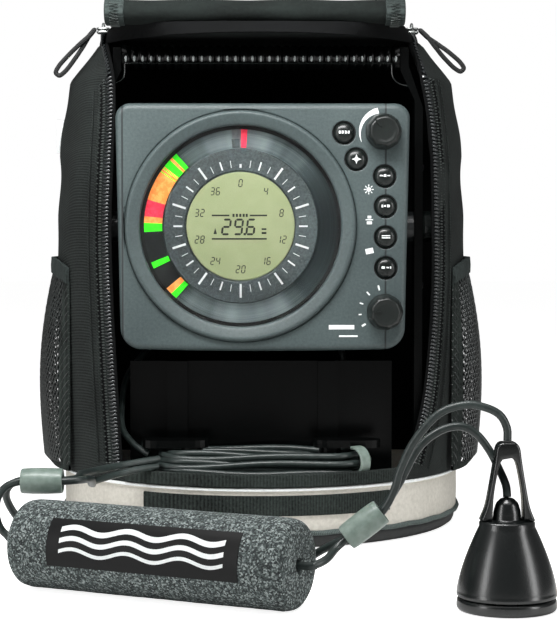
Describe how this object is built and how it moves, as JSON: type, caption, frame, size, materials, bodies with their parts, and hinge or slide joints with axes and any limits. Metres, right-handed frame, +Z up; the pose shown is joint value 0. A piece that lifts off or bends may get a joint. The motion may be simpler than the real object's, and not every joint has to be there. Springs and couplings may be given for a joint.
{
  "type": "portable flasher fish finder",
  "caption": "Portable round-dial fish finder on a carrying shuttle in a soft zipped case, with wound cable, foam float and ice transducer.",
  "frame": {"origin": "middle of the underside of the case", "axes": "+Z up, the display faces -Y, +X to the viewer's right when looking at the display"},
  "size_m": [0.2838, 0.3989, 0.3187],
  "materials": {
    "case_fabric": "coarse charcoal twill nylon",
    "band_fabric": "pale coated fabric",
    "boot_rubber": "matt black",
    "loop_tape": "black hook-and-loop pile",
    "zip_coil": "black nylon coil and tape",
    "zip_metal": "black enamelled slider with worn bright edges",
    "webbing": "dark grey woven webbing",
    "mesh_fabric": "black knitted mesh",
    "shuttle_plastic": "glossy black moulding",
    "battery_case": "matt black ABS",
    "head_plastic": "fine-textured grey ABS",
    "housing_plastic": "satin black",
    "clear_window": "clear polished acrylic",
    "dial_print": "printed dark grey",
    "lcd_glass": "pale olive LCD",
    "board_green": "solder-masked circuit board",
    "motor_steel": "brushed",
    "knob_rubber": "satin black",
    "gasket_rubber": "matt black",
    "cord_jacket": "satin grey-green jacket",
    "keeper_silicone": "translucent grey silicone",
    "float_foam": "speckled closed-cell foam",
    "sonar_plastic": "satin black urethane"
  },
  "bodies": {
    "case": {"case_body": "case_fabric", "base_band": "band_fabric", "base_boot": "boot_rubber", "loop_tape": "loop_tape", "flap_roll": "case_fabric", "zipper_left": "zip_coil", "zipper_right": "zip_coil", "mesh_pocket_left": "mesh_fabric", "mesh_pocket_right": "mesh_fabric", "pocket_hem_left": "webbing", "pocket_hem_right": "webbing", "shuttle_tray": "shuttle_plastic", "shuttle_panel": "shuttle_plastic", "handle_arm_left": "shuttle_plastic", "handle_arm_right": "shuttle_plastic", "cleat_left": "shuttle_plastic", "cleat_right": "shuttle_plastic", "grip_bar": "shuttle_plastic", "battery": "battery_case", "cable_winding": "cord_jacket", "transducer_cable": "cord_jacket", "hanger_cord": "cord_jacket", "head_lead": "cord_jacket", "power_lead": "cord_jacket", "keeper_left": "keeper_silicone", "keeper_right": "keeper_silicone", "float": "float_foam", "transducer_base": "sonar_plastic", "transducer_body": "sonar_plastic", "transducer_yoke": "sonar_plastic"},
    "head": {"face_panel": "head_plastic", "window_ring": "housing_plastic", "window_lens": "clear_window", "dial_plate": "dial_print", "lcd_module": "lcd_glass", "disc_motor": "motor_steel", "main_board": "board_green", "key_board": "board_green", "gain_pot": "motor_steel", "range_pot": "motor_steel", "housing_gasket": "gasket_rubber", "rear_housing": "housing_plastic", "transducer_plug": "knob_rubber", "power_plug": "knob_rubber"},
    "flasher_disc": {"flasher_disc": "housing_plastic"},
    "gain_knob": {"gain_knob": "knob_rubber"},
    "range_knob": {"range_knob": "knob_rubber"},
    "button_power": {"button_power": "knob_rubber"},
    "button_zoom": {"button_zoom": "knob_rubber"},
    "button_night": {"button_night": "knob_rubber"},
    "button_palette": {"button_palette": "knob_rubber"},
    "button_reject": {"button_reject": "knob_rubber"},
    "button_mode": {"button_mode": "knob_rubber"},
    "tilt_knob_left": {"tilt_knob_left": "knob_rubber"},
    "slider_left": {"slider_left": "zip_metal"},
    "pull_tab_left": {"pull_tab_left": "webbing"},
    "tilt_knob_right": {"tilt_knob_right": "knob_rubber"},
    "slider_right": {"slider_right": "zip_metal"},
    "pull_tab_right": {"pull_tab_right": "webbing"}
  },
  "joints": [
    {"name": "head_tilt", "type": "hinge", "parent": "case", "child": "head", "pos_m": [0.001, -0.025, 0.186], "axis": [1, 0, 0], "range_deg": [-10, 10], "deforming": ["head_lead", "power_lead"]},
    {"name": "disc_spin", "type": "hinge", "parent": "head", "child": "flasher_disc", "pos_m": [-0.012, -0.058, 0.186], "axis": [0, -1, 0], "continuous": true},
    {"name": "gain_turn", "type": "hinge", "parent": "head", "child": "gain_knob", "pos_m": [0.072, -0.07, 0.2416], "axis": [0, -1, 0], "range_deg": [-150, 150]},
    {"name": "range_turn", "type": "hinge", "parent": "head", "child": "range_knob", "pos_m": [0.073, -0.07, 0.1355], "axis": [0, -1, 0], "range_deg": [-75, 75]},
    {"name": "press_power", "type": "slide", "parent": "head", "child": "button_power", "axis": [0, 1, 0], "range_m": [0, 0.0012], "stiffness_N_per_m": 700},
    {"name": "press_zoom", "type": "slide", "parent": "head", "child": "button_zoom", "axis": [0, 1, 0], "range_m": [0, 0.0012], "stiffness_N_per_m": 700},
    {"name": "press_night", "type": "slide", "parent": "head", "child": "button_night", "axis": [0, 1, 0], "range_m": [0, 0.0012], "stiffness_N_per_m": 700},
    {"name": "press_palette", "type": "slide", "parent": "head", "child": "button_palette", "axis": [0, 1, 0], "range_m": [0, 0.0012], "stiffness_N_per_m": 700},
    {"name": "press_reject", "type": "slide", "parent": "head", "child": "button_reject", "axis": [0, 1, 0], "range_m": [0, 0.0012], "stiffness_N_per_m": 700},
    {"name": "press_mode", "type": "slide", "parent": "head", "child": "button_mode", "axis": [0, 1, 0], "range_m": [0, 0.0012], "stiffness_N_per_m": 700},
    {"name": "tilt_knob_turn_left", "type": "hinge", "parent": "head", "child": "tilt_knob_left", "pos_m": [-0.1, -0.025, 0.186], "axis": [-1, 0, 0], "range_deg": [-90, 180]},
    {"name": "tilt_knob_turn_right", "type": "hinge", "parent": "head", "child": "tilt_knob_right", "pos_m": [0.1, -0.025, 0.186], "axis": [1, 0, 0], "range_deg": [-90, 180]},
    {"name": "zip_slide_left", "type": "slide", "parent": "case", "child": "slider_left", "axis": [0, 1, 0], "range_m": [0, 0.02]},
    {"name": "tab_flip_left", "type": "hinge", "parent": "slider_left", "child": "pull_tab_left", "pos_m": [-0.103, -0.018, 0.3046], "axis": [0, 1, 0], "range_deg": [0, 110]},
    {"name": "zip_slide_right", "type": "slide", "parent": "case", "child": "slider_right", "axis": [0, 1, 0], "range_m": [0, 0.02]},
    {"name": "tab_flip_right", "type": "hinge", "parent": "slider_right", "child": "pull_tab_right", "pos_m": [0.099, -0.018, 0.3046], "axis": [0, -1, 0], "range_deg": [0, 110]}
  ]
}
